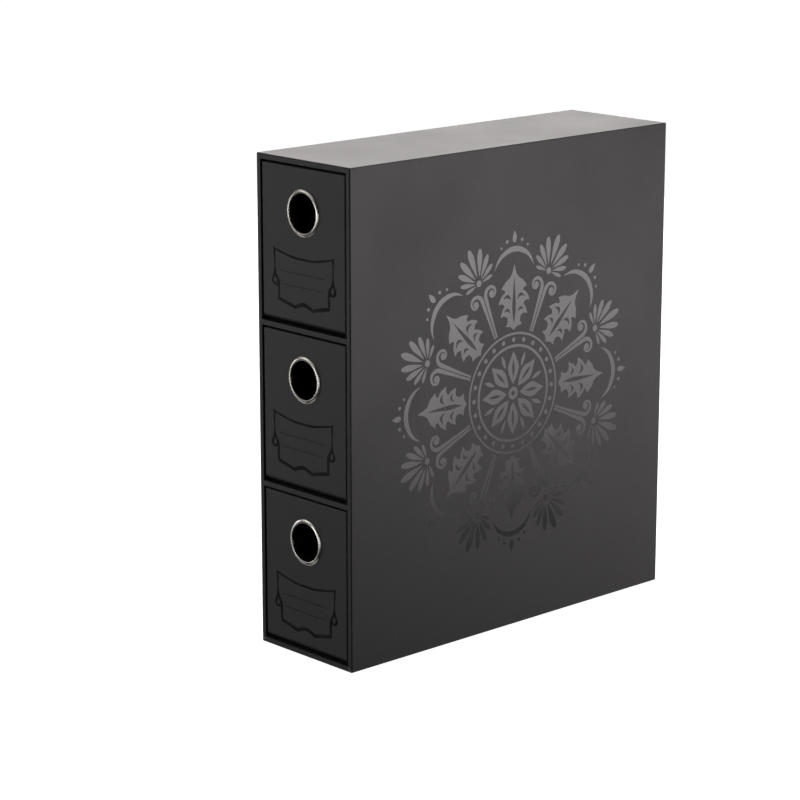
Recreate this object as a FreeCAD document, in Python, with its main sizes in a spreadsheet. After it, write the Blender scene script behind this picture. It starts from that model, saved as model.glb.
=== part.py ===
import FreeCAD, Part
import os
import PartDesign
import Sketcher

# Trading card drawer box: a tall, narrow case of paper-wrapped greyboard with
# three bays one above the other, and in each bay a drawer that slides out on
# the bay's floor.  A finger hole with a nickel eyelet is the drawer's pull.
#
# Frame: +Z up, drawers open towards -Y, origin at the middle of the underside.

os.makedirs("parts", exist_ok=True)
doc = FreeCAD.newDocument("card_drawer_box")
V = FreeCAD.Vector

# ---------------------------------------------------------------- dimensions

DIMENSIONS = [
    ("case_width", "95", "outside of the case, left to right"),
    ("case_depth", "310", "outside of the case, front to back"),
    ("case_height", "349", "outside of the case, floor to top"),
    ("wall_board", "3.5", "greyboard of the sides, top and back"),
    ("shelf_board", "3.5", "greyboard of the bottom and the two shelves"),
    ("paper", "0.25", "laminated covering and lining paper"),
    ("turn_in", "14", "how far a covering paper is folded past an edge"),
    ("drawer_side_gap", "1", "bay wall to drawer, each side"),
    ("drawer_top_gap", "1.3", "bay ceiling to drawer"),
    ("drawer_back_gap", "1", "bay back to drawer"),
    ("face_recess", "0.5", "drawer face behind the case's front edge"),
    ("face_bottom_gap", "2.2", "bay floor to the lower edge of the face"),
    ("face_board", "3", "greyboard of the drawer's face"),
    ("face_edge_radius", "1.8", "rounding of the face's front edges"),
    ("tray_board", "2", "greyboard of the drawer's tray"),
    ("pull_radius", "13.5", "inside of the eyelet that a finger goes through"),
    ("pull_drop", "32", "bay ceiling to the middle of the eyelet"),
    ("eyelet_wall", "0.4", "sheet metal of the eyelet's barrel and rear lip"),
    ("eyelet_fit", "0.1", "eyelet barrel to the holes it goes through, all round"),
    ("eyelet_flange", "3", "width of the ring seen round the hole"),
    ("eyelet_dome", "1.1", "how far that ring stands out from the face"),
    ("eyelet_lip", "1.4", "width of the lip rolled over the washer"),
    ("washer_rim", "3.6", "width of the washer behind the lining"),
    ("washer_sheet", "0.4", "thickness of that washer"),
]

sheet = doc.addObject("Spreadsheet::Sheet", "Dims")
for row, (alias, value, meaning) in enumerate(DIMENSIONS, start=1):
    sheet.set(f"A{row}", meaning)
    sheet.set(f"B{row}", value)
    sheet.setAlias(f"B{row}", alias)
doc.recompute()

# Places worked out from the dimensions, as expressions of the sheet's cells.
PAPER = "Dims.paper"
LEFT = "(-Dims.case_width / 2)"
RIGHT = "(Dims.case_width / 2)"
FRONT = "(-Dims.case_depth / 2)"
BACK = "(Dims.case_depth / 2)"
FLOOR = "0"
TOP = "Dims.case_height"

WALL = "(Dims.wall_board + 2 * Dims.paper)"
SHELF = "(Dims.shelf_board + 2 * Dims.paper)"
BAY_LEFT = f"({LEFT} + {WALL})"
BAY_RIGHT = f"({RIGHT} - {WALL})"
BAY_BACK = f"({BACK} - {WALL})"
BAY_HEIGHT = f"(({TOP} - {WALL} - 3 * {SHELF}) / 3)"

TRAY_WALL = "(Dims.tray_board + 2 * Dims.paper)"
DRAWER_LEFT = f"({BAY_LEFT} + Dims.drawer_side_gap)"
DRAWER_RIGHT = f"({BAY_RIGHT} - Dims.drawer_side_gap)"
FACE_FRONT = f"({FRONT} + Dims.face_recess)"
TRAY_FRONT = f"({FACE_FRONT} + Dims.paper + Dims.face_board)"
TRAY_BACK = f"({BAY_BACK} - Dims.drawer_back_gap)"

BARREL_RADIUS = "(Dims.pull_radius + Dims.eyelet_wall)"
HOLE_RADIUS = f"({BARREL_RADIUS} + Dims.eyelet_fit)"
PULL_X = f"(({DRAWER_LEFT} + {DRAWER_RIGHT}) / 2)"

# The three bays, lowest first.
BAYS = ["bottom", "middle", "top"]


def bay_floor(bay):
    """Expression of the height of a bay's floor; the bays are numbered from the bottom."""
    return f"({SHELF} + {bay} * ({BAY_HEIGHT} + {SHELF}))"


def bay_ceiling(bay):
    """Expression of the height of a bay's ceiling."""
    return f"({bay_floor(bay)} + {BAY_HEIGHT})"


# ------------------------------------------------------------------- helpers

nodes = []


def keep(shape_object, label):
    """Names an object as one of the box's pieces, to be written to its own file."""
    shape_object.Label = label
    nodes.append(shape_object)
    return shape_object


def block(x, y, z):
    """A rectangular block; x, y and z are each the expressions of its low and high face."""
    box = doc.addObject("Part::Box", "Block")
    for size, axis, (low, high) in (("Length", "x", x), ("Width", "y", y), ("Height", "z", z)):
        box.setExpression(size, f"{high} - {low}")
        box.setExpression(f"Placement.Base.{axis}", low)
    return box


def union(shapes):
    """One shape made of several."""
    joined = doc.addObject("Part::MultiFuse", "Union")
    joined.Shapes = shapes
    joined.Refine = True
    return joined


def cut(base, tools):
    """A shape less all the tools."""
    rest = doc.addObject("Part::Cut", "Cut")
    rest.Base = base
    rest.Tool = tools[0] if len(tools) == 1 else union(tools)
    rest.Refine = True
    return rest


def origin_plane(body, role):
    """One of the body's own three origin planes."""
    return next(plane for plane in body.Origin.OriginFeatures if plane.Role == role)


def new_sketch(body, role):
    """An empty sketch on one of the body's origin planes."""
    sketch = body.newObject("Sketcher::SketchObject", "Sketch")
    sketch.AttachmentSupport = [(origin_plane(body, role), "")]
    sketch.MapMode = "FlatFace"
    return sketch


def drive(sketch, constraint, name, expression):
    """Adds a dimension to a sketch and binds it to an expression."""
    index = sketch.addConstraint(constraint)
    sketch.renameConstraint(index, name)
    sketch.setExpression(f"Constraints.{name}", expression)


def draw_rectangle(sketch, width, height):
    """A rectangle with its low corner on the sketch's origin, sized by two expressions."""
    drawn_width, drawn_height = 20, 10
    corners = [V(0, 0), V(drawn_width, 0), V(drawn_width, drawn_height), V(0, drawn_height)]
    for start, end in zip(corners, corners[1:] + corners[:1]):
        sketch.addGeometry(Part.LineSegment(start, end), False)
    for line in range(4):
        sketch.addConstraint(Sketcher.Constraint("Coincident", line, 2, (line + 1) % 4, 1))
    for line in (0, 2):
        sketch.addConstraint(Sketcher.Constraint("Horizontal", line))
    for line in (1, 3):
        sketch.addConstraint(Sketcher.Constraint("Vertical", line))
    sketch.addConstraint(Sketcher.Constraint("Coincident", 0, 1, -1, 1))
    drive(sketch, Sketcher.Constraint("DistanceX", 0, 1, 0, 2, drawn_width), "width", width)
    drive(sketch, Sketcher.Constraint("DistanceY", 1, 1, 1, 2, drawn_height), "height", height)


# For a board's thin direction: its origin plane, the two directions that the
# sketch runs along, and whether the pad is turned round to point along +axis.
BOARD_PLANES = {
    "x": ("YZ_Plane", "yz", False),
    "y": ("XZ_Plane", "xz", True),
    "z": ("XY_Plane", "xy", False),
}


def board(thin, x, y, z):
    """A flat board or sheet, padded along its thin direction from a sketched rectangle."""
    faces = {"x": x, "y": y, "z": z}
    role, (across, up), turned = BOARD_PLANES[thin]
    body = doc.addObject("PartDesign::Body", "Body")
    sketch = new_sketch(body, role)
    draw_rectangle(
        sketch,
        f"{faces[across][1]} - {faces[across][0]}",
        f"{faces[up][1]} - {faces[up][0]}",
    )
    pad = body.newObject("PartDesign::Pad", "Pad")
    pad.Profile = sketch
    pad.Reversed = turned
    pad.setExpression("Length", f"{faces[thin][1]} - {faces[thin][0]}")
    for axis, (low, high) in faces.items():
        body.setExpression(f"Placement.Base.{axis}", low)
    return body


def pull_height(bay):
    """Expression of the height of a drawer's finger hole."""
    return f"({bay_ceiling(bay)} - Dims.pull_drop)"


def bore_board(body, x_low, z_low, bay):
    """Pockets the eyelet's hole through an upright board that faces the front."""
    across = f"{PULL_X} - {x_low}"
    up = f"{pull_height(bay)} - {z_low}"
    drawn_centre, drawn_radius = 5, 2
    sketch = new_sketch(body, "XZ_Plane")
    circle = Part.Circle(V(drawn_centre, drawn_centre), V(0, 0, 1), drawn_radius)
    sketch.addGeometry(circle, False)
    drive(sketch, Sketcher.Constraint("Radius", 0, drawn_radius), "radius", HOLE_RADIUS)
    drive(sketch, Sketcher.Constraint("DistanceX", -1, 1, 0, 3, drawn_centre), "across", across)
    drive(sketch, Sketcher.Constraint("DistanceY", -1, 1, 0, 3, drawn_centre), "up", up)
    pocket = body.newObject("PartDesign::Pocket", "PullHole")
    pocket.Profile = sketch
    pocket.Type = "ThroughAll"
    pocket.Midplane = True


def bore_tool(bay, y_low, y_high):
    """A cylinder along Y, to bore the eyelet's hole through a paper."""
    tool = doc.addObject("Part::Cylinder", "PullHoleTool")
    tool.Placement = FreeCAD.Placement(V(0, 0, 0), FreeCAD.Rotation(V(1, 0, 0), 90))
    tool.setExpression("Radius", HOLE_RADIUS)
    tool.setExpression("Height", f"{y_high} - {y_low}")
    tool.setExpression("Placement.Base.x", PULL_X)
    tool.setExpression("Placement.Base.y", y_high)
    tool.setExpression("Placement.Base.z", pull_height(bay))
    return tool


def round_front_edges(body, radius):
    """Fillets the four edges round the front of an upright board."""
    doc.recompute()
    pad = body.Tip
    on_front = 1e-6
    edges = [
        f"Edge{number}"
        for number, edge in enumerate(pad.Shape.Edges, start=1)
        if max(vertex.Y for vertex in edge.Vertexes) < on_front
    ]
    fillet = body.newObject("PartDesign::Fillet", "FrontEdges")
    fillet.Base = (pad, edges)
    fillet.setExpression("Radius", radius)


# ---------------------------------------------------------------------- case

# The side boards stand outside the bottom and back boards and under the top one.
BOARD_LEFT = f"({LEFT} + {PAPER})"
BOARD_RIGHT = f"({RIGHT} - {PAPER})"
BOARD_FRONT = f"({FRONT} + {PAPER})"
BOARD_BACK = f"({BACK} - {PAPER})"
BOARD_FLOOR = PAPER
BOARD_TOP = f"({TOP} - {PAPER})"
INSIDE_LEFT = f"({BOARD_LEFT} + Dims.wall_board)"
INSIDE_RIGHT = f"({BOARD_RIGHT} - Dims.wall_board)"
INSIDE_BACK = f"({BOARD_BACK} - Dims.wall_board)"
INSIDE_TOP = f"({BOARD_TOP} - Dims.wall_board)"
FOLD_END = f"({BOARD_FRONT} + Dims.turn_in)"


def build_case_boards():
    """The greyboards of the case: five panels, and a shelf under each upper bay."""
    depth = (BOARD_FRONT, BOARD_BACK)
    between = (INSIDE_LEFT, INSIDE_RIGHT)
    upright = (BOARD_FLOOR, INSIDE_TOP)
    keep(board("x", (BOARD_LEFT, INSIDE_LEFT), depth, upright), "case_left_board")
    keep(board("x", (INSIDE_RIGHT, BOARD_RIGHT), depth, upright), "case_right_board")
    keep(board("z", (BOARD_LEFT, BOARD_RIGHT), depth, (INSIDE_TOP, BOARD_TOP)), "case_top_board")
    keep(board("y", between, (INSIDE_BACK, BOARD_BACK), upright), "case_back_board")
    for bay, name in enumerate(["case_bottom_board", "lower_shelf_board", "upper_shelf_board"]):
        top_face = f"({bay_floor(bay)} - {PAPER})"
        thickness = (f"({top_face} - Dims.shelf_board)", top_face)
        keep(board("z", between, (BOARD_FRONT, INSIDE_BACK), thickness), name)


def build_outer_wrap():
    """The covering paper of the sides and top, folded into the bays and onto the back."""
    skin = cut(
        block((LEFT, RIGHT), (FRONT, BACK), (FLOOR, TOP)),
        [
            # what the boards and the bays take up
            block((BOARD_LEFT, BOARD_RIGHT), (BOARD_FRONT, BOARD_BACK), (FLOOR, BOARD_TOP)),
            # the mouth, inside the fold over the front edges
            block((BAY_LEFT, BAY_RIGHT), (FRONT, BOARD_FRONT), (FLOOR, f"({TOP} - {WALL})")),
            # the middle of the back, inside the fold over the back edges
            block(
                (f"({BOARD_LEFT} + Dims.turn_in)", f"({BOARD_RIGHT} - Dims.turn_in)"),
                (BOARD_BACK, BACK),
                (FLOOR, f"({BOARD_TOP} - Dims.turn_in)"),
            ),
        ],
    )
    folded_depth = (BOARD_FRONT, FOLD_END)
    folds = []
    for bay in range(len(BAYS)):
        height = (bay_floor(bay), bay_ceiling(bay))
        folds.append(block((INSIDE_LEFT, BAY_LEFT), folded_depth, height))
        folds.append(block((BAY_RIGHT, INSIDE_RIGHT), folded_depth, height))
    folds.append(block((INSIDE_LEFT, INSIDE_RIGHT), folded_depth, (f"({TOP} - {WALL})", INSIDE_TOP)))
    keep(union([skin] + folds), "case_outer_wrap")


def build_base_and_back_sheets():
    """The base paper, folded up over the bottom board's edge, and the paper on the back."""
    floor = bay_floor(0)
    under = block((BOARD_LEFT, BOARD_RIGHT), (BOARD_FRONT, BOARD_BACK), (FLOOR, BOARD_FLOOR))
    lip = block((BAY_LEFT, BAY_RIGHT), (FRONT, BOARD_FRONT), (FLOOR, floor))
    fold = block((BAY_LEFT, BAY_RIGHT), (BOARD_FRONT, FOLD_END), (f"({floor} - {PAPER})", floor))
    keep(union([under, lip, fold]), "case_base_sheet")
    between_folds = (f"({BOARD_LEFT} + Dims.turn_in)", f"({BOARD_RIGHT} - Dims.turn_in)")
    below_fold = (FLOOR, f"({BOARD_TOP} - Dims.turn_in)")
    keep(board("y", between_folds, (BOARD_BACK, BACK), below_fold), "case_back_sheet")


def build_shelf_edge_wraps():
    """The paper folded round the front edge of each shelf."""
    for bay, name in ((1, "lower_shelf_edge_wrap"), (2, "upper_shelf_edge_wrap")):
        low = f"({bay_floor(bay)} - {SHELF})"
        high = bay_floor(bay)
        whole = block((BAY_LEFT, BAY_RIGHT), (FRONT, FOLD_END), (low, high))
        shelf_height = (f"({low} + {PAPER})", f"({high} - {PAPER})")
        shelf = block((BAY_LEFT, BAY_RIGHT), (BOARD_FRONT, FOLD_END), shelf_height)
        keep(cut(whole, [shelf]), name)


def build_bay_linings():
    """The paper that lines each bay behind the folds: floor, ceiling, sides and back."""
    for bay, name in enumerate(BAYS):
        low = bay_floor(bay)
        high = bay_ceiling(bay)
        board_to_board = (f"({low} - {PAPER})", f"({high} + {PAPER})")
        whole = block((INSIDE_LEFT, INSIDE_RIGHT), (FOLD_END, INSIDE_BACK), board_to_board)
        hollow = block((BAY_LEFT, BAY_RIGHT), (FOLD_END, BAY_BACK), (low, high))
        keep(cut(whole, [hollow]), f"{name}_bay_lining")


# ------------------------------------------------------------------- drawers

def build_tray_boards(bay, name):
    """The five greyboards of a drawer's tray; the front one is bored for the eyelet."""
    low = f"({bay_floor(bay)} + {PAPER})"
    high = f"({bay_ceiling(bay)} - Dims.drawer_top_gap - {PAPER})"
    left = f"({DRAWER_LEFT} + {PAPER})"
    right = f"({DRAWER_RIGHT} - {PAPER})"
    front = f"({TRAY_FRONT} + {PAPER})"
    back = f"({TRAY_BACK} - {PAPER})"
    base_top = f"({low} + Dims.tray_board)"
    inner_left = f"({left} + Dims.tray_board)"
    inner_right = f"({right} - Dims.tray_board)"
    between = (inner_left, inner_right)
    upright = (base_top, high)
    keep(board("z", (left, right), (front, back), (low, base_top)), f"{name}_base_board")
    keep(board("x", (left, inner_left), (front, back), upright), f"{name}_left_side")
    keep(board("x", (inner_right, right), (front, back), upright), f"{name}_right_side")
    keep(board("y", between, (f"({back} - Dims.tray_board)", back), upright), f"{name}_back_board")
    front_board = board("y", between, (front, f"({front} + Dims.tray_board)"), upright)
    bore_board(front_board, inner_left, base_top, bay)
    keep(front_board, f"{name}_front_board")


def build_tray_papers(bay, name):
    """The tray's outer covering, folded over its rim, and the lining inside it."""
    low = bay_floor(bay)
    high = f"({bay_ceiling(bay)} - Dims.drawer_top_gap)"
    rim = f"({high} - {PAPER})"
    wrap = cut(
        block((DRAWER_LEFT, DRAWER_RIGHT), (TRAY_FRONT, TRAY_BACK), (low, high)),
        [
            block(
                (f"({DRAWER_LEFT} + {PAPER})", f"({DRAWER_RIGHT} - {PAPER})"),
                (f"({TRAY_FRONT} + {PAPER})", f"({TRAY_BACK} - {PAPER})"),
                (f"({low} + {PAPER})", rim),
            ),
            block(
                (f"({DRAWER_LEFT} + {TRAY_WALL})", f"({DRAWER_RIGHT} - {TRAY_WALL})"),
                (f"({TRAY_FRONT} + {TRAY_WALL})", f"({TRAY_BACK} - {TRAY_WALL})"),
                (rim, high),
            ),
            bore_tool(bay, TRAY_FRONT, f"({TRAY_FRONT} + {PAPER})"),
        ],
    )
    keep(wrap, f"{name}_tray_wrap")

    skin = f"(Dims.tray_board + {PAPER})"
    lining = cut(
        block(
            (f"({DRAWER_LEFT} + {skin})", f"({DRAWER_RIGHT} - {skin})"),
            (f"({TRAY_FRONT} + {skin})", f"({TRAY_BACK} - {skin})"),
            (f"({low} + {skin})", rim),
        ),
        [
            block(
                (f"({DRAWER_LEFT} + {TRAY_WALL})", f"({DRAWER_RIGHT} - {TRAY_WALL})"),
                (f"({TRAY_FRONT} + {TRAY_WALL})", f"({TRAY_BACK} - {TRAY_WALL})"),
                (f"({low} + {TRAY_WALL})", rim),
            ),
            bore_tool(bay, f"({TRAY_FRONT} + {skin})", f"({TRAY_FRONT} + {TRAY_WALL})"),
        ],
    )
    keep(lining, f"{name}_lining")


def face_block(bay, inset):
    """The drawer's face as a block, smaller by inset all round but at its back."""
    low = f"({bay_floor(bay)} + Dims.face_bottom_gap + {inset})"
    body = board(
        "y",
        (f"({DRAWER_LEFT} + {inset})", f"({DRAWER_RIGHT} - {inset})"),
        (f"({FACE_FRONT} + {inset})", TRAY_FRONT),
        (low, f"({bay_ceiling(bay)} - Dims.drawer_top_gap - {inset})"),
    )
    # The rounding leaves a tenth of the board square at its back.
    round_front_edges(body, f"min(Dims.face_edge_radius; {PAPER} + 0.9 * Dims.face_board) - {inset}")
    return body, low


def build_face(bay, name):
    """The thick board glued to the tray's front, and the paper folded round it."""
    core, core_low = face_block(bay, PAPER)
    bore_board(core, f"({DRAWER_LEFT} + {PAPER})", core_low, bay)
    keep(core, f"{name}_face_board")
    covered, _ = face_block(bay, "0")
    uncovered, _ = face_block(bay, PAPER)
    hole = bore_tool(bay, FACE_FRONT, f"({FACE_FRONT} + {PAPER})")
    keep(cut(covered, [uncovered, hole]), f"{name}_face_wrap")


def draw_eyelet_section(sketch):
    """Half the eyelet's section, along the hole (X) and outwards from its axis (Y)."""
    # Where the sketch starts; the expressions below give it its size.
    bore, barrel, lip, ring = 13.5, 13.9, 15.3, 16.5
    crest, seat, lip_front, rear = -1.1, 0.0, 6.15, 6.55
    mid_ring = (bore + ring) / 2
    outline = [
        V(seat, bore),
        V(rear, bore),
        V(rear, lip),
        V(lip_front, lip),
        V(lip_front, barrel),
        V(seat, barrel),
        V(seat, ring),
    ]
    DOME, BORE, REAR, LIP, LIP_FRONT, BARREL, SEAT = range(7)
    sketch.addGeometry(Part.Arc(V(seat, ring), V(crest, mid_ring), V(seat, bore)), False)
    for start, end in zip(outline, outline[1:]):
        sketch.addGeometry(Part.LineSegment(start, end), False)

    for line in (BORE, REAR, LIP, LIP_FRONT, BARREL):
        sketch.addConstraint(Sketcher.Constraint("Coincident", line, 2, line + 1, 1))
    for line in (BORE, LIP, BARREL):
        sketch.addConstraint(Sketcher.Constraint("Horizontal", line))
    for line in (REAR, LIP_FRONT, SEAT):
        sketch.addConstraint(Sketcher.Constraint("Vertical", line))
    outer_end, inner_end = (1, 2) if sketch.Geometry[DOME].StartPoint.y > mid_ring else (2, 1)
    sketch.addConstraint(Sketcher.Constraint("Coincident", DOME, outer_end, SEAT, 2))
    sketch.addConstraint(Sketcher.Constraint("Coincident", DOME, inner_end, BORE, 1))
    sketch.addConstraint(Sketcher.Constraint("PointOnObject", BORE, 1, -2))
    sketch.addConstraint(Sketcher.Constraint("PointOnObject", SEAT, 1, -2))

    heights = [
        ("bore", BORE, 1, bore, "Dims.pull_radius"),
        ("barrel", BARREL, 1, barrel, BARREL_RADIUS),
        ("lip", LIP, 1, lip, f"{BARREL_RADIUS} + Dims.eyelet_lip"),
        ("ring", SEAT, 2, ring, "Dims.pull_radius + Dims.eyelet_flange"),
    ]
    for name, line, end, drawn, expression in heights:
        drive(sketch, Sketcher.Constraint("DistanceY", -1, 1, line, end, drawn), name, expression)
    grip = f"({PAPER} + Dims.face_board + {TRAY_WALL} + Dims.washer_sheet)"
    lengths = [
        ("lip_front", LIP_FRONT, 2, lip_front, grip),
        ("rear", REAR, 1, rear, f"{grip} + Dims.eyelet_wall"),
    ]
    for name, line, end, drawn, expression in lengths:
        drive(sketch, Sketcher.Constraint("DistanceX", -1, 1, line, end, drawn), name, expression)
    # The radius of an arc that is as high as the dome and as wide as the ring.
    dome_radius = "(Dims.eyelet_flange ^ 2 / 4 + Dims.eyelet_dome ^ 2) / (2 * Dims.eyelet_dome)"
    drawn_radius = sketch.Geometry[DOME].Radius
    drive(sketch, Sketcher.Constraint("Radius", DOME, drawn_radius), "dome", dome_radius)


def build_eyelet(bay, name):
    """The nickel eyelet: a domed ring on the face, a barrel, and a lip rolled outwards behind."""
    eyelet = doc.addObject("PartDesign::Body", "Body")
    sketch = new_sketch(eyelet, "YZ_Plane")
    draw_eyelet_section(sketch)
    turn = eyelet.newObject("PartDesign::Revolution", "Turned")
    turn.Profile = sketch
    turn.ReferenceAxis = (sketch, ["H_Axis"])
    turn.Angle = 360
    eyelet.setExpression("Placement.Base.x", PULL_X)
    eyelet.setExpression("Placement.Base.y", FACE_FRONT)
    eyelet.setExpression("Placement.Base.z", pull_height(bay))
    keep(eyelet, f"{name}_eyelet")


def build_washer(bay, name):
    """The flat ring inside the drawer that the eyelet's rear lip is rolled over."""
    washer = doc.addObject("PartDesign::Body", "Body")
    sketch = new_sketch(washer, "XZ_Plane")
    circles = (("inner", HOLE_RADIUS), ("outer", f"{HOLE_RADIUS} + Dims.washer_rim"))
    for circle, (edge, radius) in enumerate(circles):
        drawn_radius = 10 * (circle + 1)
        sketch.addGeometry(Part.Circle(V(0, 0), V(0, 0, 1), drawn_radius), False)
        sketch.addConstraint(Sketcher.Constraint("Coincident", circle, 3, -1, 1))
        drive(sketch, Sketcher.Constraint("Radius", circle, drawn_radius), edge, radius)
    pad = washer.newObject("PartDesign::Pad", "Pad")
    pad.Profile = sketch
    pad.Reversed = True
    pad.setExpression("Length", "Dims.washer_sheet")
    washer.setExpression("Placement.Base.x", PULL_X)
    washer.setExpression("Placement.Base.y", f"{TRAY_FRONT} + {TRAY_WALL}")
    washer.setExpression("Placement.Base.z", pull_height(bay))
    keep(washer, f"{name}_eyelet_washer")


# --------------------------------------------------------------------- build

build_case_boards()
build_outer_wrap()
build_base_and_back_sheets()
build_shelf_edge_wraps()
build_bay_linings()
for bay, name in enumerate(BAYS):
    build_tray_boards(bay, f"{name}_drawer")
    build_tray_papers(bay, f"{name}_drawer")
    build_face(bay, f"{name}_drawer")
    build_eyelet(bay, f"{name}_drawer")
    build_washer(bay, f"{name}_drawer")
doc.recompute()

for item in doc.Objects:
    if "Invalid" in item.State or "Error" in item.State:
        raise RuntimeError(f"{item.Label} failed to build: {item.State}")
for node in nodes:
    shape = node.Shape
    if shape.isNull() or not shape.isValid() or len(shape.Solids) != 1:
        raise RuntimeError(f"{node.Label} is not one valid solid")

for node in nodes:
    node.Shape.exportStep(f"parts/{node.Label}.step")
    box = node.Shape.optimalBoundingBox(False)
    spans = "".join(
        f"  {axis} {low:8.2f} {high:8.2f}"
        for axis, low, high in (
            ("x", box.XMin, box.XMax),
            ("y", box.YMin, box.YMax),
            ("z", box.ZMin, box.ZMax),
        )
    )
    print(f"{node.Label:32s} {node.Shape.Volume / 1000:8.3f} cm3 {spans}")
print(f"{len(nodes)} pieces")
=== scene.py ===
# %% [markdown]
# # A drawer box for trading cards
#
# The real thing is a tall case of greyboard, covered in black laminated paper,
# with three drawers one above the other. Paper covering is what gives such a box
# its look: edges with a small even rounding, folds that end in mitres, and a face
# that shines softly without a single reflection in it. The boards, the linings of
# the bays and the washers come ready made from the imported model. This lesson makes
# the covering papers, the eyelets, the varnish and the light.

# %% Load the model
import bpy
import math
from mathutils import Matrix, Vector


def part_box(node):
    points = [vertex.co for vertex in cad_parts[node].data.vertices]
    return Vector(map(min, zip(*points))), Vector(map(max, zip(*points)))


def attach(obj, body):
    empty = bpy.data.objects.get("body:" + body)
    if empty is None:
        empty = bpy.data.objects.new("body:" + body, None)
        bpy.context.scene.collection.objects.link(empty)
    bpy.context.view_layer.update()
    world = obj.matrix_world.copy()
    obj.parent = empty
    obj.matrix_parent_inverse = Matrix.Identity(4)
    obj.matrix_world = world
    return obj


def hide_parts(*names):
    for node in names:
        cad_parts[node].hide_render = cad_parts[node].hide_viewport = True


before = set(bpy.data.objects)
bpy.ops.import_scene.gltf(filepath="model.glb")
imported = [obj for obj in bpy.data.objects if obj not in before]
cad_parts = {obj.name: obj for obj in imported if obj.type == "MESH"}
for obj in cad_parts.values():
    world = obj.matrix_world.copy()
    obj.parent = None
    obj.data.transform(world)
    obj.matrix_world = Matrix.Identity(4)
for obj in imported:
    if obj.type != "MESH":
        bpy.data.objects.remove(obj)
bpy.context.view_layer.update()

# %% [markdown]
# ## Looking at the box
#
# The camera stands in front and to the right, a little above, and far enough away
# that the upright edges stay almost parallel. A long lens does this. Its place is
# given as three steps from the middle of the foot of the box, along the camera's
# own right, up and back directions, which is easier to reason about than x, y and z.

# %% Camera
TURN = math.radians(47.117)
RISE = math.radians(13.936)
STEP_RIGHT = -0.04833
STEP_UP = 0.15347
STEP_BACK = 1.99173
LENS = 121.97
SENSOR_WIDTH = 36.0

back_way = Vector((math.sin(TURN) * math.cos(RISE), -math.cos(TURN) * math.cos(RISE), math.sin(RISE)))
right_way = Vector((math.cos(TURN), math.sin(TURN), 0.0))
up_way = back_way.cross(right_way)
viewpoint = right_way * STEP_RIGHT + up_way * STEP_UP + back_way * STEP_BACK
aim = Matrix((right_way, up_way, back_way)).transposed()

bpy.ops.object.select_all(action="DESELECT")
bpy.ops.object.camera_add(location=viewpoint, rotation=aim.to_euler())
camera = bpy.context.object
camera.name = "camera"
camera.data.lens = LENS
camera.data.sensor_width = SENSOR_WIDTH
camera.data.clip_start = 0.02
camera.data.clip_end = 60.0
bpy.context.scene.camera = camera
print("the camera stands at", [round(v, 4) for v in camera.location])

# %% [markdown]
# ## Floor and studio light
#
# Black laminated paper has almost no colour of its own, so nearly all that is seen
# of it is light that it mirrors softly. Each side of the box looks towards another
# part of the studio, and takes its tone from there. So the light hangs as walls
# of panels, and each panel has its own brightness: the back wall lights the lid,
# the side wall makes the right side's fade from grey to black, and the front wall
# is dark in the middle. Six softboxes are there for the nickel rings to mirror,
# above, beside and below. Two more stand square to the front and to the right side,
# so that these look as clear from straight on. One panel hangs over the left of the
# case, behind the plane of its front, where it reaches the lid and the inside of an
# open drawer but neither the front nor the right side. The floor is pale and plain.
# It is kept out of reflections, as if the box stood on a small table in a much
# larger room.

# %% Helpers for nodes
PURE_WHITE = (1.0, 1.0, 1.0, 1.0)


def feed(node, socket, value):
    """Sets an input of a node to a value, or leads another node's output to it."""
    if isinstance(value, bpy.types.NodeSocket):
        node.id_data.links.new(value, node.inputs[socket])
    else:
        node.inputs[socket].default_value = value


def add_node(tree, kind, inputs):
    """Adds a node to a tree and feeds its inputs."""
    node = tree.nodes.new(kind)
    for socket, value in inputs.items():
        feed(node, socket, value)
    return node


print("node helpers are ready")

# %% Floor
FLOOR_SIZE = 40.0
FLOOR_DROP = 0.0004
FLOOR_GREY = (0.85, 0.85, 0.85, 1.0)
FLOOR_GLOW = 0.98

bpy.ops.mesh.primitive_plane_add(size=FLOOR_SIZE, location=(0.0, 0.0, -FLOOR_DROP))
floor = bpy.context.object
floor.name = "studio_floor"
bpy.ops.object.transform_apply(location=True, rotation=True, scale=True)
pale_floor = bpy.data.materials.new("pale_floor")
pale_floor.use_nodes = True
shader = pale_floor.node_tree.nodes["Principled BSDF"]
feed(shader, "Base Color", FLOOR_GREY)
feed(shader, "Roughness", 0.9)
feed(shader, "Emission Color", PURE_WHITE)
feed(shader, "Emission Strength", FLOOR_GLOW)
floor.data.materials.append(pale_floor)
floor.visible_glossy = False
floor.visible_diffuse = False
floor.visible_shadow = False
print("the floor is", FLOOR_SIZE, "m wide and glows a little, so that it stays even")

# %% Room
ROOM_BEHIND_BOX = 0.07
ROOM_BEHIND_CAMERA = 0.01
ROOM_IN_VIEW = 1.2

room = bpy.data.worlds.new("studio_room")
bpy.context.scene.world = room
room.use_nodes = True
tree = room.node_tree
tree.nodes.clear()
direction = add_node(tree, "ShaderNodeTexCoord", {}).outputs["Generated"]
lean = add_node(tree, "ShaderNodeVectorMath", {0: direction, 1: (math.sin(TURN), -math.cos(TURN), 0.0)})
lean.operation = "DOT_PRODUCT"
level = add_node(tree, "ShaderNodeMapRange", {
    "Value": lean.outputs["Value"], "From Min": -0.6, "From Max": 0.5,
    "To Min": ROOM_BEHIND_BOX, "To Max": ROOM_BEHIND_CAMERA})
dim = add_node(tree, "ShaderNodeBackground", {"Color": PURE_WHITE, "Strength": level.outputs["Result"]})
pale = add_node(tree, "ShaderNodeBackground", {"Color": PURE_WHITE, "Strength": ROOM_IN_VIEW})
in_view = add_node(tree, "ShaderNodeLightPath", {}).outputs["Is Camera Ray"]
both = add_node(tree, "ShaderNodeMixShader", {
    "Fac": in_view, 1: dim.outputs["Background"], 2: pale.outputs["Background"]})
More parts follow.
